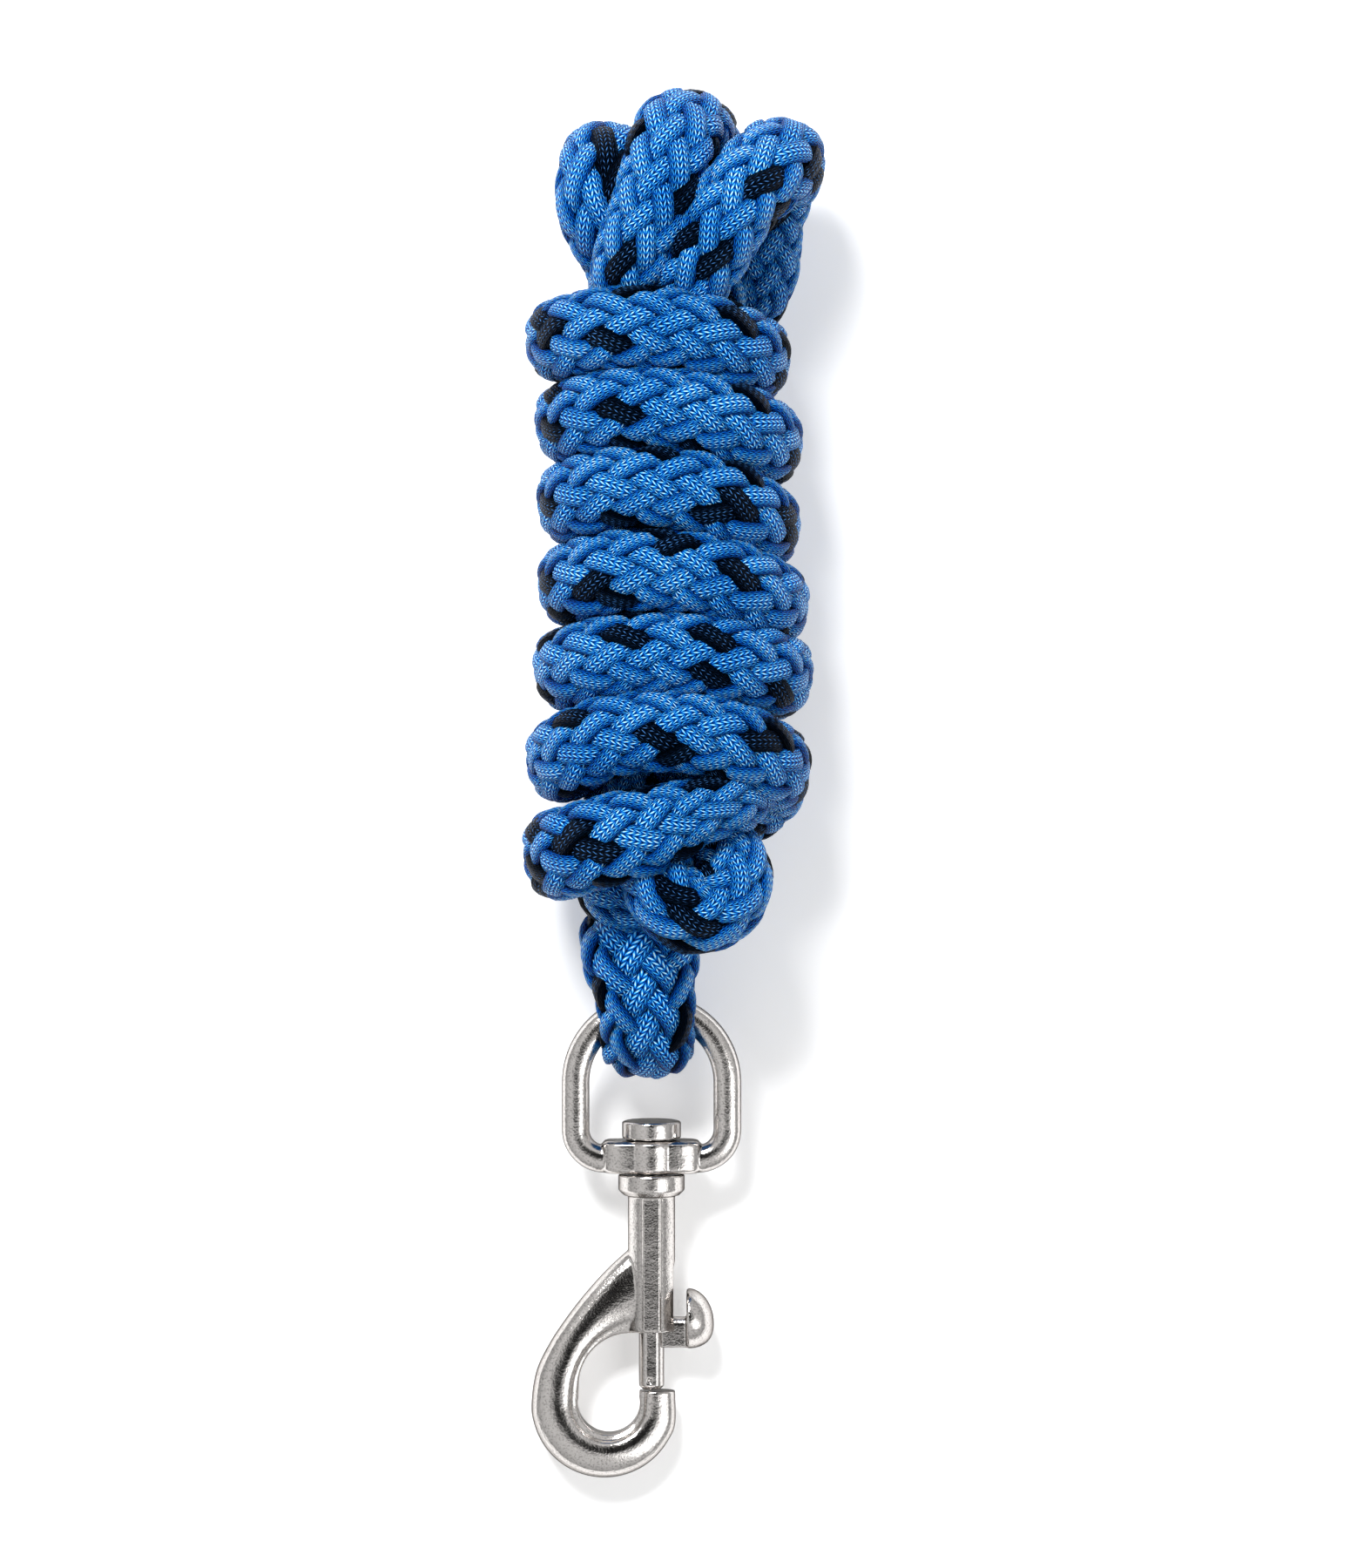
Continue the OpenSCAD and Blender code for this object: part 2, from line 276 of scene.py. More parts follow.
# Each wrap: its place along Y at the left, in front and at the right, and the X of the hank's sides there.
WRAPS = [
    (207.3, 210.1, 203.1, -25.3, 35.7), (188.1, 191.8, 183.5, -23.2, 38.5),
    (169.8, 173.4, 164.3, -22.8, 37.9), (150.8, 154.2, 146.2, -22.6, 39.9),
    (131.4, 135.0, 130.0, -23.6, 40.9), (110.2, 117.3, 108.5, -25.3, 40.3), (88.4, 93.8, 100.5, -25.9, 29.6)]
# The wraps' section against a round rope, and how far their centre line lies from the hank's middle.
WRAP_FLAT, WRAP_WIDE = 0.89, 1.11
WRAP_DEEP = 21.0
# The last wrap is wider and stops part of the way round, and the one before it drops early behind the hank.
LAST_WRAP_WIDER = 0.12
LAST_WRAP_STEPS = 7
EARLY_DROP = 0.5
WRAP_TILT = math.radians(8)
WRAP_STEPS = 24
# How far the wraps' outline is from an ellipse towards a rounded box, where 1 is an ellipse.
WRAP_ROUNDNESS = 0.8


def wrap_points():
    """The wraps, once round for each: across the front from left to right, then back behind to the next."""
    rows = []
    for n, (left, front, right, low_x, high_x) in enumerate(WRAPS):
        inset = WRAP_FLAT * ROPE_D / 2
        last = n == len(WRAPS) - 1
        next_left, next_low = (left, low_x) if last else (WRAPS[n + 1][0], WRAPS[n + 1][3])
        wide = WRAP_WIDE + (LAST_WRAP_WIDER if last else 0)
        for step in range(LAST_WRAP_STEPS if last else WRAP_STEPS):
            turn = math.pi * (1 - 2 * step / WRAP_STEPS)
            c, s = math.cos(turn), math.sin(turn)
            if turn >= 0:
                y = front + (right - left) / 2 * c + ((right + left) / 2 - front) * c * c
                side_x = low_x
            else:
                ease = ((1 - c) / 2) ** (EARLY_DROP if n == len(WRAPS) - 2 else 1)
                y = right + (next_left - right) * ease
                side_x = next_low
            middle = (side_x + high_x) / 2
            half = (high_x - side_x) / 2 - inset
            x = middle + half * math.copysign(abs(c) ** WRAP_ROUNDNESS, c)
            z = HANK_Z + WRAP_DEEP * math.copysign(abs(s) ** WRAP_ROUNDNESS, s)
            outward = np.array([c / half, 0, s / WRAP_DEEP])
            outward /= np.linalg.norm(outward)
            side = np.array([0, math.cos(WRAP_TILT), 0]) + math.sin(WRAP_TILT) * outward
            rows.append([x, y, z, WRAP_FLAT, wide, *side, 0.9])
    return np.array(rows)


def route_points():
    """All the route's rows, from the end in the splice to the free end behind the last wraps."""
    eye = np.hstack([EYE, np.tile([*ACROSS, 1.0], (len(EYE), 1))])
    run = dict(girth=RUN_GIRTH, hold=0.05)
    return np.vstack([
        eye,
        stretch([[7, 90, 20.5], [7, 150, 21], [7, 200, 21]], **run),
        stretch(LEFT_LOBE),
        stretch([[-2.6, 199, 25.5], [-2.5, 150, 25.5], [-2.8, 100, 25.5]], **run),
        stretch(BOTTOM_LEFT),
        stretch([[16.6, 100, 24.2], [16.5, 150, 24], [16.5, 200, 24]], **run),
        stretch(MIDDLE_LOBE),
        stretch([[-1, 203, 36.8], [-0.5, 150, 36.5], [-0.5, 106, 36.5]], **run),
        stretch(BOTTOM_FRONT),
        stretch([[14, 106, 36.4], [13.5, 150, 36.5], [13.4, 200, 36.5]], **run),
        stretch(RIGHT_LOBE),
        wrap_points(),
        stretch(FREE_END, 0.85, hold=0.3),
    ])


def through(rows, spacing):
    """Rows at an even spacing along a smooth curve through the given rows, whose first columns are places."""
    points = rows[:, :3]
    knots = np.concatenate([[0], np.cumsum(np.sqrt(np.linalg.norm(np.diff(points, axis=0), axis=1)))])
    step = np.diff(knots)[:, None]
    slope = np.diff(points, axis=0) / step
    tangent = np.empty_like(points)
    tangent[1:-1] = (slope[:-1] * step[1:] + slope[1:] * step[:-1]) / (step[:-1] + step[1:])
    tangent[0], tangent[-1] = slope[0], slope[-1]
    parts = 32
    fine = (np.arange(parts) / parts)[None, :, None]
    a, b = points[:-1, None], points[1:, None]
    ta, tb = tangent[:-1, None] * step[:, None], tangent[1:, None] * step[:, None]
    f2, f3 = fine ** 2, fine ** 3
    curve = (2 * f3 - 3 * f2 + 1) * a + (f3 - 2 * f2 + fine) * ta + (3 * f2 - 2 * f3) * b + (f3 - f2) * tb
    curve = np.vstack([curve.reshape(-1, 3), points[-1]])
    index = np.arange(len(curve)) / parts
    length = np.concatenate([[0], np.cumsum(np.linalg.norm(np.diff(curve, axis=0), axis=1))])
    even = np.linspace(0, length[-1], int(round(length[-1] / spacing)) + 1)
    at = np.interp(even, length, index)
    rest = [np.interp(at, np.arange(len(rows)), rows[:, k]) for k in range(3, rows.shape[1])]
    place = [np.interp(even, length, curve[:, k]) for k in range(3)]
    return np.array(place + rest).T


# The radius that the centre line's bends are eased towards.
TIGHTEST = 9.0


def settle(rows, spacing, rounds=220):
    """Pushes the loosely held places apart where two stretches share room, and opens the sharpest bends."""
    rows = rows.copy()
    home = rows[:, :3].copy()
    hold = rows[:, 8][:, None]
    radius = ROPE_D / 2 * np.minimum(rows[:, 3], rows[:, 4])
    # Rows this near along the route aren't pushed apart, and stretches that touch are pressed in a little.
    neighbours, pressed = 7, 0.92
    order = np.arange(len(rows))
    apart = np.abs(order[:, None] - order[None]) > neighbours
    room = (radius[:, None] + radius[None]) * pressed
    free = np.where(hold > 0.5, 0.0, 1.0)
    for _ in range(rounds):
        place = rows[:, :3]
        gap = place[:, None] - place[None]
        distance = np.linalg.norm(gap, axis=2) + 1e-6
        depth = np.where(apart & (distance < room), room - distance, 0)
        touching = np.maximum((depth > 0).sum(1), 1)[:, None]
        push = (gap / distance[..., None] * depth[..., None]).sum(1) / touching
        bend = np.zeros_like(place)
        bend[1:-1] = (place[:-2] + place[2:]) / 2 - place[1:-1]
        bent = np.linalg.norm(bend, axis=1)[:, None] + 1e-9
        stiff = 0.08 + 0.6 * np.clip(1 - spacing ** 2 / (2 * TIGHTEST) / bent, 0, 1)
        place = place + free * (0.4 * push + stiff * bend + hold * 0.5 * (home - place))
        place[:, 2] = np.maximum(place[:, 2], radius)
        rows[:, :3] = place
    return rows


def eased(rows, spread=3.0):
    """The rows with their places averaged over a few millimetres along the route, and the two ends kept."""
    reach = 10
    weight = np.exp(-0.5 * (np.arange(-reach, reach + 1) * SPACING / spread) ** 2)
    weight /= weight.sum()
    longer = np.pad(rows[:, :3], ((reach, reach), (0, 0)), mode="reflect", reflect_type="odd")
    place = [np.convolve(longer[:, k], weight, "valid") for k in range(3)]
    return np.hstack([np.array(place).T, rows[:, 3:]])


def frames(place):
    """Tangents and a pair of crosswise directions that turn as little as they can along the route."""
    tangent = np.gradient(place, axis=0)
    tangent /= np.linalg.norm(tangent, axis=1)[:, None]
    normal = np.empty_like(tangent)
    normal[0] = np.cross(tangent[0], [1, 0, 0])
    normal[0] /= np.linalg.norm(normal[0])
    for i in range(len(place) - 1):
        carried = normal[i] - tangent[i + 1] * (normal[i] @ tangent[i + 1])
        normal[i + 1] = carried / np.linalg.norm(carried)
    return tangent, normal, np.cross(tangent, normal)


# The spacings, in millimetres, of the route while it settles and of the rings that are built on it.
COARSE = 4.0
SPACING = 1.05
route = eased(through(settle(through(route_points(), COARSE), COARSE), SPACING))
centre = route[:, :3]
tangent, normal, binormal = frames(centre)
flat, wide = route[:, 3], route[:, 4]
side = route[:, 5:8] - tangent * (route[:, 5:8] * tangent).sum(1)[:, None]
side /= np.linalg.norm(side, axis=1)[:, None]
across = np.cross(side, tangent)
travel = np.concatenate([[0], np.cumsum(np.linalg.norm(np.diff(centre, axis=0), axis=1))])
ROPE_LENGTH = float(travel[-1])
curvature = np.gradient(tangent, axis=0) / np.gradient(travel)[:, None]
END_TAPER = 7.0
# The section's outline, where 2 is an ellipse and more is boxier.
BOXY = 2.45
ends = np.minimum(travel, ROPE_LENGTH - travel)
taper = np.sqrt(np.clip(ends / END_TAPER, 0.02, 1) * (2 - np.clip(ends / END_TAPER, 0.02, 1)))


def squeeze(offset):
    """An offset from the round rope's centre line, pressed into the section that the rope has there."""
    on_side = (offset * side).sum(1)
    on_across = (offset * across).sum(1)
    size = np.hypot(on_side, on_across)
    boxed = size / ((np.abs(on_side) ** BOXY + np.abs(on_across) ** BOXY) ** (1 / BOXY))
    grow = (taper * boxed)[:, None]
    return (on_side[:, None] * side * wide[:, None] + on_across[:, None] * across * flat[:, None]) * grow


def on_floor(rings):
    """The rings with nothing below the surface that they lie on."""
    rings[..., 2] = np.maximum(rings[..., 2], 0.02)
    return rings


# ---------------------------------------------------------------- the braid

STRANDS_EACH_WAY = 12
# The length that a strand goes in one turn round the rope, its mean radius there, and its weave in and out.
PITCH = 101.0
MID_R = 6.2
WAVE = 1.5
# A strand's width and thickness, and how much of its width is left where it is tucked under.
STRAND_W = 4.95
STRAND_T = 2.9
TUCKED = 0.82
STRAND_SIDES = 10
CORE_SIDES = 20
BLACK_RIGHT = (0, 2, 7)
BLACK_LEFT = (7,)


def strand_rings(number, way):
    """One strand's rings: way is 1 for a right-hand strand and -1 for a left-hand one."""
    turn = way * 2 * math.pi * travel / PITCH + 2 * math.pi * number / STRANDS_EACH_WAY
    crossing = 2 * STRANDS_EACH_WAY * travel / PITCH
    phase = 2 * number + way * crossing - (0.5 if way > 0 else 2.5)
    lift = np.tanh(1.5 * np.cos(math.pi / 2 * phase)) / math.tanh(1.5)
    radius = MID_R + WAVE * lift
    out = np.cos(turn)[:, None] * normal + np.sin(turn)[:, None] * binormal
    round_it = np.cos(turn)[:, None] * binormal - np.sin(turn)[:, None] * normal
    offset = squeeze(out * radius[:, None])
    path = centre + offset
    girth = np.hypot((round_it * side).sum(1) * wide, (round_it * across).sum(1) * flat) * taper
    shorten = np.clip(1 - (curvature * offset).sum(1), 0.2, 1)
    heading = np.gradient(path, axis=0)
    heading /= np.maximum(np.linalg.norm(heading, axis=1), 1e-6)[:, None]
    up = offset / np.linalg.norm(offset, axis=1)[:, None]
    up -= heading * (up * heading).sum(1)[:, None]
    up /= np.linalg.norm(up, axis=1)[:, None]
    sideways = np.cross(heading, up)
    tuck = (1 + TUCKED) / 2 + (1 - TUCKED) / 2 * lift
    half_w = STRAND_W / 2 * girth * tuck * (0.45 + 0.55 * shorten)
    half_t = STRAND_T / 2 * (0.4 + 0.6 * np.minimum(flat, wide))
    a = 2 * math.pi * np.arange(STRAND_SIDES) / STRAND_SIDES
    ca, sa = np.cos(a), np.sin(a)
    ca, sa = np.sign(ca) * np.abs(ca) ** 0.8, np.sign(sa) * np.abs(sa) ** 0.7
    rings = (path[:, None]
             + sideways[:, None] * (half_w[:, None] * ca[None])[..., None]
             + up[:, None] * (half_t[:, None] * sa[None])[..., None])
    along = np.concatenate([[0], np.cumsum(np.linalg.norm(np.diff(path, axis=0), axis=1))]) / STITCH_PITCH
    return on_floor(rings), along


def make_rope():
    """The core, which stands for the rope's CAD solids, and the strands that are on it."""
    core_r = MID_R - 0.4
    a = 2 * math.pi * np.arange(CORE_SIDES) / CORE_SIDES
    rings = np.stack([
        centre + squeeze((math.cos(t) * normal + math.sin(t) * binormal) * core_r) for t in a], 1)
    core = tube_object("rope_core", on_floor(rings), 1, travel / 10, core_material())
    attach(core, "rope")
    for way, blacks, word in ((1, BLACK_RIGHT, "right"), (-1, BLACK_LEFT, "left")):
        for number in range(STRANDS_EACH_WAY):
            rings, along = strand_rings(number, way)
            black = number in blacks
            name = f"strand_{word}_{number + 1:02d}"
            strand = tube_object(name, rings, STITCH_COLUMNS, along, black_yarn if black else blue_yarn)
            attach(strand, "rope")
    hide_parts("rope_eye", "rope_bottom_bights", "rope_hank", "rope_top_bights")


make_rope()

# ---------------------------------------------------------------- the snap's shapes, in millimetres
# The snap's own frame has its origin in the middle of the ring's top bar, with the barrel's axis along -Y.

LEAN = math.radians(5.2)
SNAP_ORIGIN = np.array([3.6, 53.2, 15.337])


def on_snap(points):
    """From the snap's own frame to the frame that everything stands in."""
    x, y, z = np.asarray(points, float).T
    c, s = math.cos(LEAN), math.sin(LEAN)
    return np.stack([x, y * c - z * s, y * s + z * c], -1) + SNAP_ORIGIN


def joined(*shells):
    """Several (points, faces) shells as one."""
    verts, faces, start = [], [], 0
    for points, polygons in shells:
        verts.append(np.asarray(points, float))
        faces += [tuple(i + start for i in f) for f in polygons]
        start += len(points)
    return np.vstack(verts), faces


def skin(rings, closed=False):
    """A shell through rings of points. A closed one joins its ends, and an open one is capped."""
    rings = np.asarray(rings, float)
    count, sides = rings.shape[:2]
    faces = []
    for i in range(count if closed else count - 1):
        k = (i + 1) % count
        faces += [(i * sides + j, i * sides + (j + 1) % sides, k * sides + (j + 1) % sides, k * sides + j)
                  for j in range(sides)]
    if not closed:
        faces += [tuple(range(sides))[::-1], tuple(range((count - 1) * sides, count * sides))]
    return rings.reshape(-1, 3), faces


def turned_shell(profile, sides=72, axis="Y", at=(0, 0)):
    """A shape turned about the Y or X axis: profile is (radius, place along the axis) pairs."""
    a = 2 * math.pi * np.arange(sides) / sides
    rings = []
    for radius, place in profile:
        u, v = radius * np.cos(a), radius * np.sin(a)
        along = np.full(sides, float(place))
        u, v = u + at[0], v + at[1]
        rings.append(np.stack([u, along, v] if axis == "Y" else [along, u, v], -1))
    return skin(rings)


def box_shell(low, high):
    (x0, y0, z0), (x1, y1, z1) = low, high
    lower = [(x0, y0, z0), (x1, y0, z0), (x1, y1, z0), (x0, y1, z0)]
    upper = [(x, y, z1) for x, y, _ in lower]
    return skin([lower, upper])


def raw_object(name, shell):
    """A mesh in millimetre units with its normals outwards."""
    points, faces = shell
    mesh = bpy.data.meshes.new(name)
    mesh.from_pydata([tuple(p) for p in points], [], faces)
    graph = bmesh.new()
    graph.from_mesh(mesh)
    bmesh.ops.recalc_face_normals(graph, faces=graph.faces)
    graph.to_mesh(mesh)
    graph.free()
    obj = bpy.data.objects.new(name, mesh)
    bpy.context.scene.collection.objects.link(obj)
    return obj


def apply_modifiers(obj):
    graph = bpy.context.evaluated_depsgraph_get()
    mesh = bpy.data.meshes.new_from_object(obj.evaluated_get(graph))
    obj.modifiers.clear()
    obj.data = mesh


def casting_object(name, shell, cutters, voxel, rounds, material, body, node):
    """One casting in its CAD node's place: overlapping shells less the cutters, with its edges worn round."""
    obj = raw_object(name, shell)
    for n, cutter in enumerate(cutters):
        tool = raw_object(f"{name}_cutter_{n}", cutter)
        cut = obj.modifiers.new("cut", "BOOLEAN")
        cut.operation = "DIFFERENCE"
        cut.solver = "EXACT"
        cut.use_self = n == 0
        cut.object = tool
        apply_modifiers(obj)
        bpy.data.objects.remove(tool)
    remesh = obj.modifiers.new("remesh", "REMESH")
    remesh.mode = "VOXEL"
    remesh.voxel_size = voxel * 1
    worn = obj.modifiers.new("worn", "SMOOTH")
    worn.factor = 0.5
    worn.iterations = rounds
    apply_modifiers(obj)
    mesh = obj.data
    mesh.name = name
    co = np.zeros(len(mesh.vertices) * 3, np.float32)
    mesh.vertices.foreach_get("co", co)
    mesh.vertices.foreach_set("co", (on_snap(co.reshape(-1, 3)) * MM).astype(np.float32).ravel())
    mesh.polygons.foreach_set("use_smooth", [True] * len(mesh.polygons))
    mesh.materials.clear()
    mesh.materials.append(material)
    mesh.update()
    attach(obj, body)
    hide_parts(node)
    return obj


def mixed(nodes, links, one, other):
    """Two colours multiplied."""
    node = nodes.new("ShaderNodeMix")
    node.data_type = "RGBA"
    node.blend_type = "MULTIPLY"
    node.inputs["Factor"].default_value = 1.0
    links.new(one, node.inputs["A"])
    links.new(other, node.inputs["B"])
    return node.outputs["Result"]


def plated(name, colour, roughness, pits, grain=1.0):
    """Nickel plate over a casting: a satin grain of fine pits, shallow waves, and painted shade that darkens
    its recesses.
    """
    material, nodes, links, shader = new_material(name)
    geometry = nodes.new("ShaderNodeNewGeometry")
    place = geometry.outputs["Position"]
    pit = noise(nodes, links, place, 2100, 3.0, 0.6)
    speck = ramp(nodes, links, pit, (0.36, (1 - 0.55 * grain,) * 3), (0.47, (1, 1, 1)), (0.62, (1, 1, 1)),
                 (0.72, (1 + 0.25 * grain,) * 3))
    wave = noise(nodes, links, place, 150, 3.0)
    cloud = noise(nodes, links, place, 330, 4.0, 0.6)
    tint = ramp(nodes, links, cloud, (0.3, tuple(0.9 * c for c in colour)), (0.65, colour))
    # Painted shade: the colour is darkened where the surface curves inwards.
    painted_recess_shade = ramp(nodes, links, geometry.outputs["Pointiness"], (0.40, (0.12,) * 3), (0.485, (1, 1, 1)))
    links.new(mixed(nodes, links, mixed(nodes, links, tint, speck), painted_recess_shade), shader.inputs["Base Color"])
    shader.inputs["Metallic"].default_value = 1.0
    shader.inputs["Specular Tint"].default_value = (0.12, 0.115, 0.11, 1)
    links.new(calc(nodes, links, "MULTIPLY_ADD", cloud, 0.12, roughness - 0.06), shader.inputs["Roughness"])
    waved = bump(nodes, links, wave, 0.3 * MM, 0.5)
    links.new(bump(nodes, links, pit, pits * MM, 0.6, waved), shader.inputs["Normal"])
    return material


CAST = plated("plated_casting", (0.72, 0.69, 0.668), 0.128, 0.085, 0.6)
STEEL = plated("plated_steel", (0.73, 0.70, 0.68), 0.11, 0.05, 0.35)
WIRE = plated("spring_wire", (0.35, 0.34, 0.33), 0.32, 0.04, 0.3)

# Sizes repeated from the CAD: places are along the barrel's axis from the ring's top bar.
ARCH_R, BAR_W, BAR_T = 17.6, 6.4, 6.8
BOSS_TOP, BOSS_FOOT, BOSS_R, BOSS_T = -31.0, -38.6, 11.3, 13.0
RING_CORNER = 6.8
SHANK_R, BORE_R, BARREL_R = 3.5, 3.0, 5.4
COLLAR_TOP, COLLAR_FOOT, COLLAR_R = -38.9, -43.9, 7.7
SHANK_END, MOUTH = -50.0, -75.5
TIP_TOP, BOLT_TOP, BOLT_R = -89.4, -67.0, 2.92
NECK_TOP, NECK_FOOT, NECK_T = -72.2, -79.3, 3.8
SLOT_TOP, SLOT_HALF = -59.3, 2.1
KNOB_Y, KNOB_FACE, KNOB_R, KNOB_DEPTH = -72.6, 8.1, 7.0, 6.4
SEAT, SEAT_R = np.array([-9.9, -92.1]), 7.2
OUTER, OUTER_R = np.array([-10.9, -92.7]), 17.0
THROAT, THROAT_R = np.array([-4.7, -88.0]), 12.2
HOOK_HALF = 6.3


def arc(middle, radius, start, end, steps):
    """Points of an arc, with its angles in degrees."""
    a = np.radians(np.linspace(start, end, steps))
    return np.stack([middle[0] + radius * np.cos(a), middle[1] + radius * np.sin(a)], -1)


def make_swivel_eye():
    """The arched ring, and the boss at its foot with the hole that turns on the rivet."""
    corner_y = BOSS_FOOT + BAR_W / 2 + RING_CORNER
    inner = ARCH_R - RING_CORNER
    line = np.vstack([
        arc((0, -ARCH_R), ARCH_R, 0, 180, 49),
        np.linspace([-ARCH_R, -ARCH_R - 2], [-ARCH_R, corner_y + 1], 6),
        arc((-inner, corner_y), RING_CORNER, 180, 270, 14),
        np.linspace([-inner + 2, corner_y - RING_CORNER], [inner - 2, corner_y - RING_CORNER], 9),
        arc((inner, corner_y), RING_CORNER, 270, 360, 14),
        np.linspace([ARCH_R, corner_y + 1], [ARCH_R, -ARCH_R - 2], 6),
    ])
    ahead = np.roll(line, -1, axis=0) - np.roll(line, 1, axis=0)
    ahead /= np.linalg.norm(ahead, axis=1)[:, None]
    outward = np.stack([ahead[:, 1], -ahead[:, 0]], -1)
    w, t = BAR_W / 2, BAR_T / 2
    # A cast bar: a narrow flat crown, rounding off to the outer edge and to the inner one.
    half = [
        (1, 0.22), (0.93, 0.5), (0.78, 0.72), (0.58, 0.87), (0.34, 0.965), (0.1, 1),
        (-0.16, 1), (-0.4, 0.96), (-0.62, 0.86), (-0.8, 0.7), (-0.94, 0.47), (-1, 0.2)]
    profile = [(u * w, v * t) for u, v in half] + [(u * w, -v * t) for u, v in half[::-1]]
    rings = [[(*(p + o * u), v) for u, v in profile] for p, o in zip(line, outward)]
    edge = 0.8
    a = 2 * math.pi * (np.arange(72) + 0.5) / 72
    foot = []
    for y, inset in ((BOSS_TOP, edge), (BOSS_TOP - edge, 0), (BOSS_FOOT + edge, 0), (BOSS_FOOT, edge)):
        x = (BOSS_R + 0.2 - inset) * np.sign(np.cos(a)) * np.abs(np.cos(a)) ** 0.55
        z = (0.42 * BOSS_T - inset) * np.sign(np.sin(a)) * np.abs(np.sin(a)) ** 0.55
        foot.append(np.stack([x, np.full(72, y), z], -1))
    middle_r = BOSS_T / 2 + 0.15
    middle = turned_shell([
        (0.01, BOSS_TOP + 0.1), (middle_r - edge, BOSS_TOP + 0.1), (middle_r, BOSS_TOP - edge),
        (middle_r, BOSS_FOOT + edge), (middle_r - edge, BOSS_FOOT), (0.01, BOSS_FOOT)])
    hole = turned_shell([(SHANK_R + 0.1, BOSS_TOP + 1), (SHANK_R + 0.1, BOSS_FOOT - 1)])
    shell = joined(skin(rings, closed=True), skin(foot), middle)
    eye = casting_object("eye_casting", shell, [hole], 0.24, 4, CAST, "eye", "swivel_eye")


def make_rivet():
    """The rivet's flat head with worn edges, and its shank down to the spring."""
    top, under, head = -26.5, -30.6, 6.85
    profile = [
        (0.01, top), (head - 0.8, top), (head - 0.25, top - 0.15), (head, top - 0.5),
        (head, under + 0.35), (head - 0.1, under + 0.15), (head - 0.4, under), (SHANK_R, under),
        (SHANK_R, SHANK_END), (0.01, SHANK_END)]
    rivet = casting_object("rivet_turned", turned_shell(profile), [], 0.2, 3, STEEL, "hook", "swivel_rivet")


def hook_pairs():
    """Pairs of points across the hook, inner edge first, from its root in the barrel to its tip."""
    root = np.array([
        [[-1, -75], [-1, -53]], [[-4, -75.2], [-5.2, -56.4]], [[-7.4, -76], [-9.8, -60.6]],
        [[-10.8, -77.5], [-14.6, -65.8]], [[-13.6, -79.8], [-19.2, -71.6]],
        [[-15.7, -83.1], [-23.6, -78.2]], [[-16.9, -87.4], [-26.8, -85]]], float)
    bend = np.stack([arc(SEAT, SEAT_R, 180, 345, 12), arc(OUTER, OUTER_R, 180, 345, 12)], 1)
    tip = np.array([[[-2.5, TIP_TOP], [5.5, TIP_TOP]]], float)
    return np.concatenate([root, bend, tip])


def finer(rows, steps):
    """Rows of numbers with more rows between them, on a smooth curve."""
    flat_rows = rows.reshape(len(rows), -1)
    slope = np.gradient(flat_rows, axis=0)
    t = (np.arange(steps) / steps)[None, :, None]
    a, b, ta, tb = flat_rows[:-1, None], flat_rows[1:, None], slope[:-1, None], slope[1:, None]
    curve = ((2 * t ** 3 - 3 * t ** 2 + 1) * a + (t ** 3 - 2 * t ** 2 + t) * ta
             + (3 * t ** 2 - 2 * t ** 3) * b + (t ** 3 - t ** 2) * tb)
    curve = np.vstack([curve.reshape(-1, flat_rows.shape[1]), flat_rows[-1]])
    return curve.reshape(-1, *rows.shape[1:])


# The hook's face from its inner edge to its outer one: shares of the way across and of the full height.
HOOK_FACE = np.array([
    [0.0, 0.60], [0.05, 0.67], [0.10, 0.70], [0.135, 0.74], [0.175, 0.86], [0.22, 0.925], [0.30, 0.97],
    [0.40, 1.0], [0.50, 0.995], [0.60, 0.965], [0.71, 0.91], [0.81, 0.82], [0.90, 0.67], [0.96, 0.46],
    [0.99, 0.25]])


def hook_shell():
    """The hook, fullest in the middle of its bend. It runs past its inner edge, where the opening is cut."""
    pairs = finer(hook_pairs(), 6)
    lip, fullest = 1.2, 0.55
    root_half, tip_half = 4.0, 4.4
    rings = []
    for s, (inner, outer) in zip(np.linspace(0, 1, len(pairs)), pairs):
        if s < fullest:
            half = root_half + (HOOK_HALF - root_half) * (1 - math.cos(math.pi * s / fullest)) / 2
        else:
            turn = math.pi * (s - fullest) / (1 - fullest)
            half = tip_half + (HOOK_HALF - tip_half) * (1 + math.cos(turn)) / 2
        reach = outer - inner
        past = [-lip / np.linalg.norm(reach)]
        share = np.concatenate([past, HOOK_FACE[:, 0], [1.0], HOOK_FACE[::-1, 0], past])
        height = np.concatenate([[0.58], HOOK_FACE[:, 1], [0.0], -HOOK_FACE[::-1, 1], [-0.58]]) * half
        place = inner + share[:, None] * reach
        rings.append(np.column_stack([place, height]))
    return skin(rings)


def barrel_shell():
    """The barrel with eight soft facets, and its collar."""
    edge, bevel = 0.3, 1.3
    collar = turned_shell([
        (0.01, COLLAR_TOP), (COLLAR_R - edge, COLLAR_TOP), (COLLAR_R, COLLAR_TOP - edge),
        (COLLAR_R, COLLAR_FOOT + bevel), (COLLAR_R - bevel, COLLAR_FOOT), (0.01, COLLAR_FOOT)])
    a = 2 * math.pi * (np.arange(72) + 0.5) / 72
    facet = 0.2 * np.abs(np.cos(4 * a)) ** 2
    rings = []
    top = COLLAR_FOOT
    stations = ((top + 1, 0), (top - 1.6, 0), (MOUTH + 2.6, 0), (MOUTH + 0.7, 0.25), (MOUTH, 0.1))
    for y, grow in stations:
        r = BARREL_R + 0.18 - facet * 0.6 + grow
        rings.append(np.stack([r * np.cos(a), np.full(72, y), r * np.sin(a)], -1))
    return joined(collar, skin(rings))


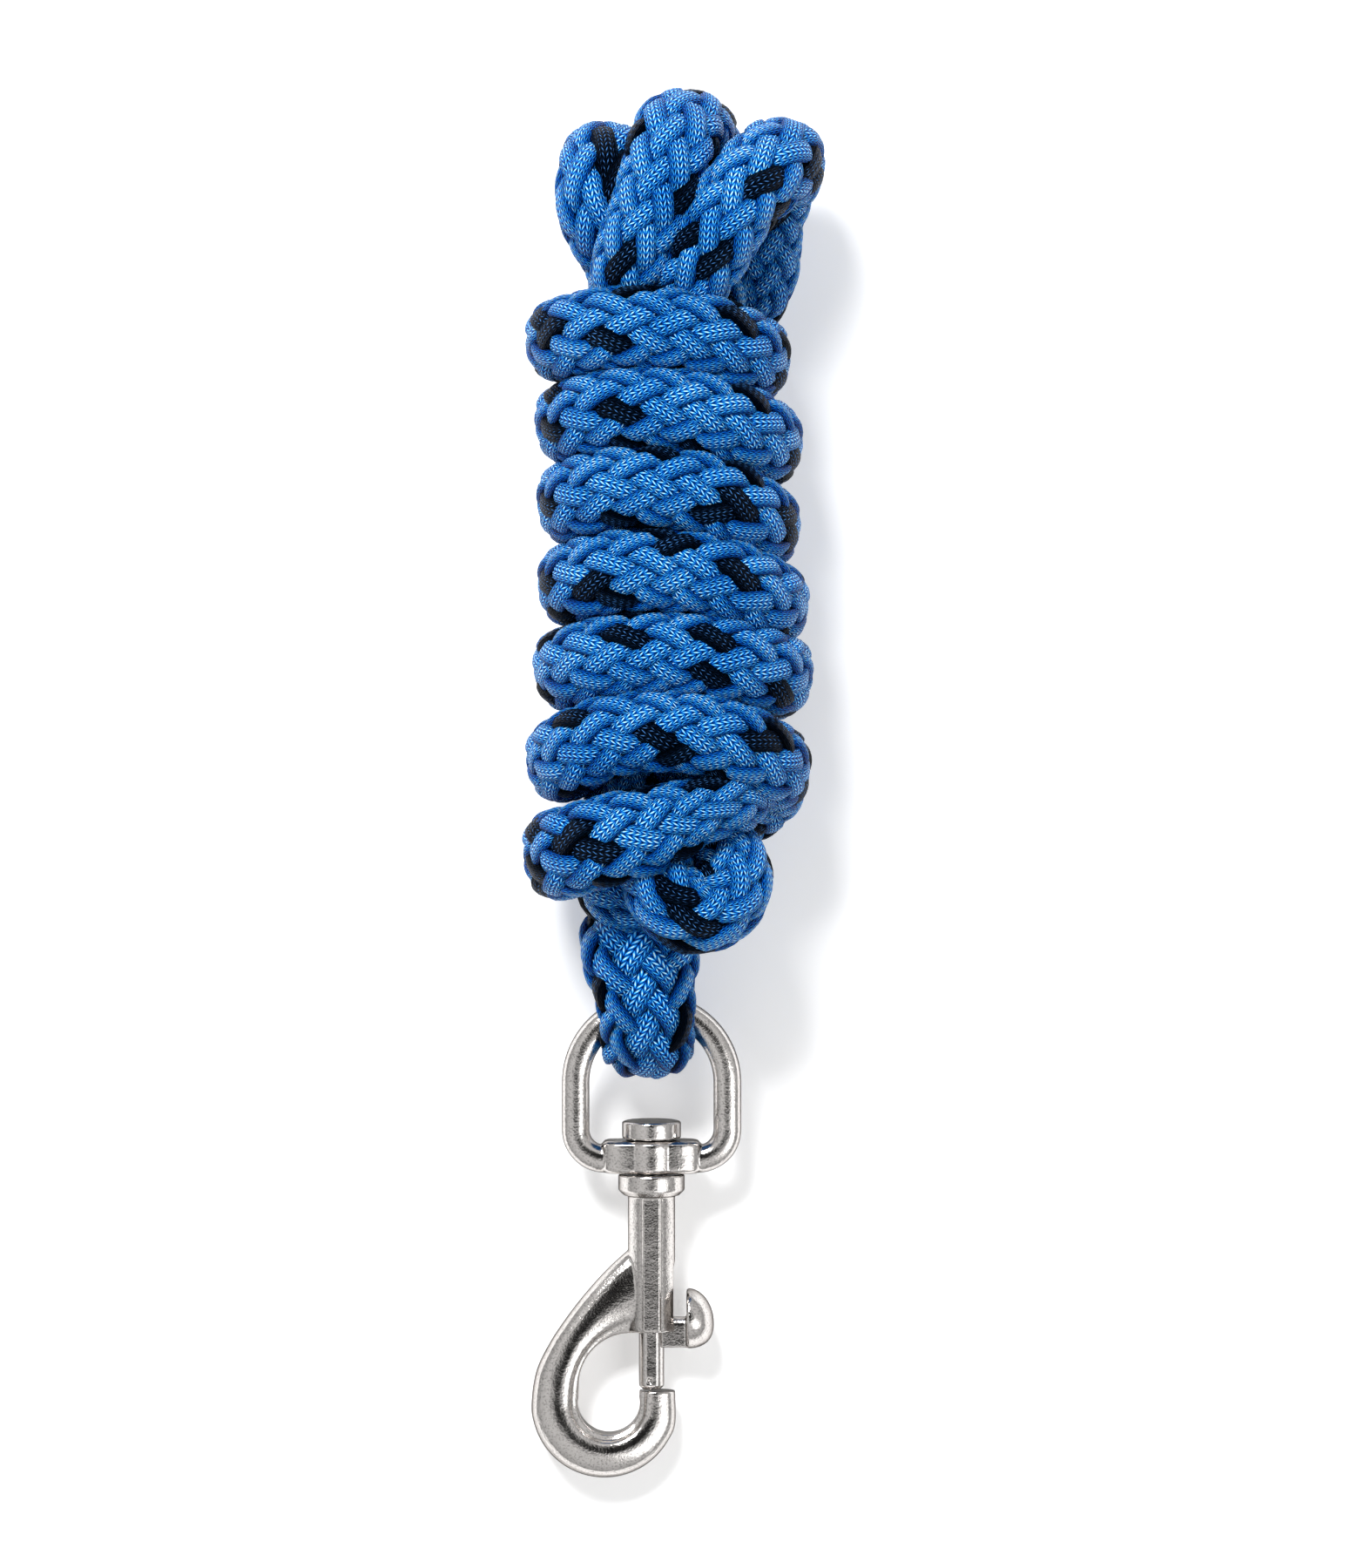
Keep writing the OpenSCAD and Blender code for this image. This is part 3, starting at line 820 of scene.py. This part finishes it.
def make_hook_body():
    """Collar, barrel and hook in one casting, with the plain strips, the bores, the slot and the opening."""
    strip_half, strip_top = 1.95, BARREL_R + 0.42
    strips = [box_shell((-strip_half, MOUTH + 0.2, z0), (strip_half, COLLAR_FOOT + 0.5, z1))
              for z0, z1 in ((0, strip_top), (-strip_top, 0))]
    inset = 0.15
    arch = arc(THROAT, THROAT_R, 90, 172.5, 16)
    left, right = SEAT + [inset - SEAT_R, 1], SEAT + [SEAT_R - inset, 1]
    opening = np.vstack([arch, [left, *arc(SEAT, SEAT_R, 172, 368, 40), right], [[right[0], arch[0][1]]]])
    opening = skin([[(x, y, z) for x, y in opening] for z in (-10, 10)])
    cutters = [
        opening,
        turned_shell([(SHANK_R, COLLAR_TOP + 1), (SHANK_R, SHANK_END)]),
        turned_shell([(BORE_R, SHANK_END + 1), (BORE_R, MOUTH - 1)]),
        box_shell((0, MOUTH - 1, -SLOT_HALF), (2 * BARREL_R, SLOT_TOP - SLOT_HALF, SLOT_HALF)),
        turned_shell([(SLOT_HALF, 0), (SLOT_HALF, 2 * BARREL_R)], 32, "X", (SLOT_TOP - SLOT_HALF, 0)),
    ]
    shell = joined(barrel_shell(), hook_shell(), *strips)
    hook = casting_object("hook_casting", shell, cutters, 0.24, 4, CAST, "hook", "hook_body")


def make_bolt():
    """The plunger, with a small drilled mark near its foot."""
    foot, bevel = TIP_TOP + 0.3, 0.9
    points, faces = turned_shell([
        (0.01, BOLT_TOP), (BOLT_R - 0.3, BOLT_TOP), (BOLT_R, BOLT_TOP - 0.3), (BOLT_R, -80),
        (BOLT_R, -84), (BOLT_R, foot + bevel), (BOLT_R - bevel, foot), (0.01, foot)], 64)
    # A flat runs down its front and back, as on the barrel.
    points[:, 2] = np.clip(points[:, 2], -BOLT_R + 0.28, BOLT_R - 0.28)
    mark = box_shell((-0.9, foot + 1.5, BOLT_R - 0.8), (0.1, foot + 2.7, BOLT_R))
    bolt = casting_object("bolt_turned", (points, faces), [mark], 0.16, 3, STEEL, "bolt", "bolt")


def make_thumb_knob():
    """A half dome with its flat face to the barrel, fuller below, on a square neck."""
    sides, steps = 64, 14
    a = 2 * math.pi * np.arange(sides) / sides
    rings = [np.stack([np.full(sides, KNOB_FACE), 0.02 * np.cos(a), 0.02 * np.sin(a)], -1)]
    for x, r in ((KNOB_FACE, KNOB_R - 0.45), (KNOB_FACE + 0.45, KNOB_R)):
        rings.append(np.stack([np.full(sides, x), r * np.cos(a), r * np.sin(a)], -1))
    for n in range(1, steps + 1):
        t = math.pi / 2 * n / steps
        r = max(KNOB_R * math.cos(t) ** 0.9, 0.02)
        x = KNOB_FACE + 0.45 + (KNOB_DEPTH - 0.45) * math.sin(t)
        sag = -1.1 * math.sin(t) ** 2
        rings.append(np.stack([np.full(sides, x), r * np.cos(a) + sag, r * np.sin(a)], -1))
    dome = skin(rings)
    dome[0][:, 1] += KNOB_Y
    round_y = NECK_TOP - NECK_T / 2
    neck = box_shell((1, NECK_FOOT, -NECK_T / 2), (KNOB_FACE + 1, round_y, NECK_T / 2))
    neck_end = turned_shell([(NECK_T / 2, 1), (NECK_T / 2, KNOB_FACE + 1)], 32, "X", (round_y, 0))
    saddle = turned_shell([(BOLT_R - 0.05, NECK_TOP + 1), (BOLT_R - 0.05, NECK_FOOT - 1)])
    shell = joined(dome, neck, neck_end)
    knob = casting_object("knob_casting", shell, [saddle], 0.22, 4, CAST, "bolt", "thumb_knob")


def make_spring():
    """The coil spring, from the shank's end down to the top of the bolt."""
    turns, wire_r, coil_r, steps = 9, 0.35, 2.45, 24
    top, foot = SHANK_END - 0.05 - wire_r, BOLT_TOP + 0.05 + wire_r
    n = np.arange(turns * steps + 1)
    turn, share = 2 * math.pi * n / steps, n / (turns * steps)
    middle = np.stack([coil_r * np.cos(turn), top + (foot - top) * share, -coil_r * np.sin(turn)], -1)
    out = np.stack([np.cos(turn), np.zeros(len(n)), -np.sin(turn)], -1)
    a = 2 * math.pi * np.arange(10) / 10
    rings = middle[:, None] + wire_r * (np.cos(a)[None, :, None] * out[:, None]
                                        + np.sin(a)[None, :, None] * np.array([0, 1, 0]))
    spring = tube_object("spring_coil", on_snap(rings.reshape(-1, 3)).reshape(rings.shape), 1, share, WIRE)
    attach(spring, "hook")
    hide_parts("bolt_spring")
    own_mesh(spring)


make_swivel_eye()
make_rivet()
make_hook_body()
make_bolt()
make_thumb_knob()
make_spring()

# ---------------------------------------------------------------- stage, light and camera


def make_floor():
    """A plain pale floor, 6 m square."""
    half = 3
    mesh = bpy.data.meshes.new("floor")
    corners = [(-half, -half, 0), (half, -half, 0), (half, half, 0), (-half, half, 0)]
    mesh.from_pydata(corners, [], [(0, 1, 2, 3)])
    material, nodes, links, shader = new_material("floor")
    shader.inputs["Base Color"].default_value = (0.86, 0.86, 0.86, 1)
    shader.inputs["Roughness"].default_value = 0.9
    shader.inputs["Emission Color"].default_value = (1, 1, 1, 1)
    shader.inputs["Emission Strength"].default_value = 0.3
    mesh.materials.append(material)
    floor = bpy.data.objects.new("floor", mesh)
    bpy.context.scene.collection.objects.link(floor)


def area_light(name, place, target, side, power):
    """A square white light at a place in metres, turned to its target."""
    light = bpy.data.lights.new(name, "AREA")
    light.shape = "SQUARE"
    light.size = side
    light.energy = power
    obj = bpy.data.objects.new(name, light)
    obj.location = place
    obj.rotation_euler = (Vector(target) - Vector(place)).to_track_quat("-Z", "Y").to_euler()
    bpy.context.scene.collection.objects.link(obj)


def make_lights():
    """A soft studio: the world, a key light and a weak fill."""
    world = bpy.data.worlds.new("studio")
    world.use_nodes = True
    nodes, links = world.node_tree.nodes, world.node_tree.links
    way = nodes.new("ShaderNodeTexCoord")
    split = nodes.new("ShaderNodeSeparateXYZ")
    links.new(way.outputs["Generated"], split.inputs[0])
    # It is bright all round, with a dark patch nearly overhead that polished metal shows along its crests.
    bright = ramp(nodes, links, split.outputs["Z"], (0.0, (0.3,) * 3), (0.3, (0.55,) * 3), (0.8, (0.78,) * 3))
    north = calc(nodes, links, "MULTIPLY", split.outputs["Y"], 0.156)
    overhead = calc(nodes, links, "MULTIPLY_ADD", split.outputs["Z"], 0.988, north)
    share = ramp(nodes, links, overhead, (0.914, (0, 0, 0)), (0.938, (1, 1, 1)))
    sky = nodes.new("ShaderNodeMix")
    sky.data_type = "RGBA"
    links.new(share, sky.inputs["Factor"])
    links.new(bright, sky.inputs["A"])
    sky.inputs["B"].default_value = (0.01, 0.01, 0.01, 1)
    links.new(sky.outputs["Result"], nodes["Background"].inputs[0])
    nodes["Background"].inputs[1].default_value = 0.9
    bpy.context.scene.world = world
    area_light("key", (-0.45, 1.15, 1.35), (0, 0.1, 0), 0.55, 40)
    area_light("fill", (0.9, -0.5, 1.2), (0, 0.1, 0), 0.8, 5)


def make_camera():
    """Straight above, with a long lens, and the picture's top towards +Y."""
    centre_x, centre_y, level = 9.05, 104.8, 20.0
    seen_height, distance = 363.2, 9000.0
    camera = bpy.data.cameras.new("camera")
    camera.sensor_fit = "VERTICAL"
    camera.sensor_height = 24
    camera.lens = camera.sensor_height * distance / seen_height
    camera.clip_start = 0.01
    camera.clip_end = 20
    obj = bpy.data.objects.new("camera", camera)
    obj.location = (centre_x * MM, centre_y * MM, (level + distance) * MM)
    bpy.context.scene.collection.objects.link(obj)
    bpy.context.scene.camera = obj


make_floor()
make_lights()
make_camera()
bpy.context.scene.view_settings.view_transform = "Standard"
